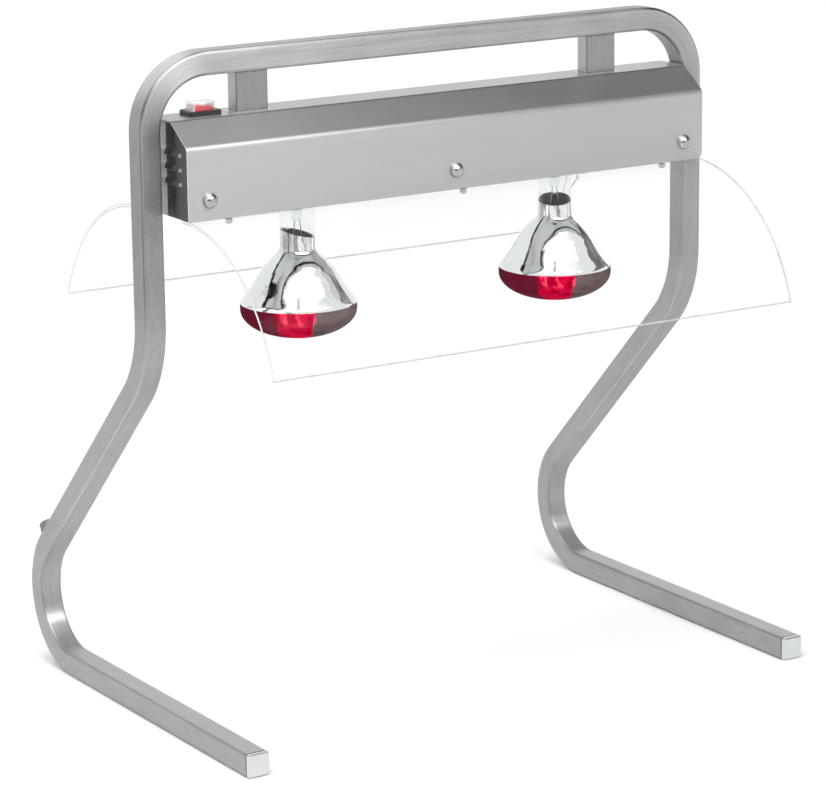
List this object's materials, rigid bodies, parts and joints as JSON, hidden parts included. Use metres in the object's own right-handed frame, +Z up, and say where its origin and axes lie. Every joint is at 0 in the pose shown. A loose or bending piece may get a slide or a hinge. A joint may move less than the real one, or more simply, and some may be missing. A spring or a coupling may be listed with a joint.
{
  "type": "infrared food warming lamp gantry",
  "caption": "Free-standing bent square-tube gantry holding a sheet-metal housing with reflector heat lamps between clear curved guards, with a rocker switch on top.",
  "frame": {"origin": "centre of the footprint, on the table under the feet", "axes": "+Z up, +X along the top bar towards the right leg, -Y towards the front ends of the feet"},
  "size_m": [0.689, 0.4884, 0.6917],
  "materials": {
    "brushed_steel_tube": "brushed stainless tube",
    "brushed_steel_sheet": "brushed stainless sheet",
    "bright_cap": "polished",
    "bright_fastener": "polished",
    "plated_steel": "zinc plated",
    "clear_acrylic": "clear",
    "clear_glass": "clear",
    "silvered_glass": "silvered glass",
    "red_glass": "ruby glass",
    "nickel_cap": "nickel-plated brass",
    "brass": "bare brass",
    "tungsten": "wire",
    "ceramic": "white steatite",
    "black_plastic": "black",
    "red_plastic": "red",
    "clear_silicone": "clear boot",
    "grey_plastic": "grey polyamide",
    "wire_brown": "lead sleeve",
    "wire_blue": "lead sleeve",
    "wire_green": "lead sleeve"
  },
  "bodies": {
    "stand": {"leg_left": "brushed_steel_tube", "foot_cap_left": "bright_cap", "post_left": "brushed_steel_tube", "end_plate_left": "brushed_steel_sheet", "lampholder_left": "ceramic", "lampholder_left_sleeve": "nickel_cap", "lampholder_left_tongue": "brass", "bracket_left": "plated_steel", "leg_right": "brushed_steel_tube", "foot_cap_right": "bright_cap", "post_right": "brushed_steel_tube", "end_plate_right": "brushed_steel_sheet", "lampholder_right": "ceramic", "lampholder_right_sleeve": "nickel_cap", "lampholder_right_tongue": "brass", "bracket_right": "plated_steel", "frame_bar": "brushed_steel_tube", "post_screws": "plated_steel", "housing_cover": "brushed_steel_sheet", "bottom_pan": "brushed_steel_sheet", "cover_screws": "bright_fastener", "cover_nuts": "plated_steel", "guard_front": "clear_acrylic", "guard_back": "clear_acrylic", "guard_screws": "plated_steel", "guard_nuts": "plated_steel", "holder_screws": "plated_steel", "bracket_rivets": "plated_steel", "switch_bezel": "black_plastic", "switch_body": "black_plastic", "switch_boot": "clear_silicone", "switch_blades": "brass", "terminal_block": "ceramic", "terminal_screws": "brass", "earth_stud": "brass", "wire_live": "wire_brown", "wire_neutral": "wire_blue", "wire_earth": "wire_green", "gland_body": "grey_plastic", "gland_nut": "grey_plastic", "gland_lock_nut": "grey_plastic"},
    "rocker": {"switch_rocker": "red_plastic"},
    "lamp_left": {"lamp_left_red_face": "red_glass", "lamp_left_reflector": "silvered_glass", "lamp_left_neck": "clear_glass", "lamp_left_stem": "clear_glass", "lamp_left_filament": "tungsten", "lamp_left_screw_cap": "nickel_cap", "lamp_left_contact": "brass"},
    "lamp_right": {"lamp_right_red_face": "red_glass", "lamp_right_reflector": "silvered_glass", "lamp_right_neck": "clear_glass", "lamp_right_stem": "clear_glass", "lamp_right_filament": "tungsten", "lamp_right_screw_cap": "nickel_cap", "lamp_right_contact": "brass"}
  },
  "joints": [
    {"name": "switch_rocker_tilt", "type": "hinge", "parent": "stand", "child": "rocker", "pos_m": [-0.2684, -0.02858, 0.6278], "axis": [0, -1, 0], "range_deg": [0, 14]},
    {"name": "lamp_left_turn", "type": "hinge", "parent": "stand", "child": "lamp_left", "pos_m": [-0.1595, -0.02858, 0.55], "axis": [0, 0, 1], "range_deg": [0, 360]},
    {"name": "lamp_right_turn", "type": "hinge", "parent": "stand", "child": "lamp_right", "pos_m": [0.1595, -0.02858, 0.55], "axis": [0, 0, 1], "range_deg": [0, 360]}
  ]
}
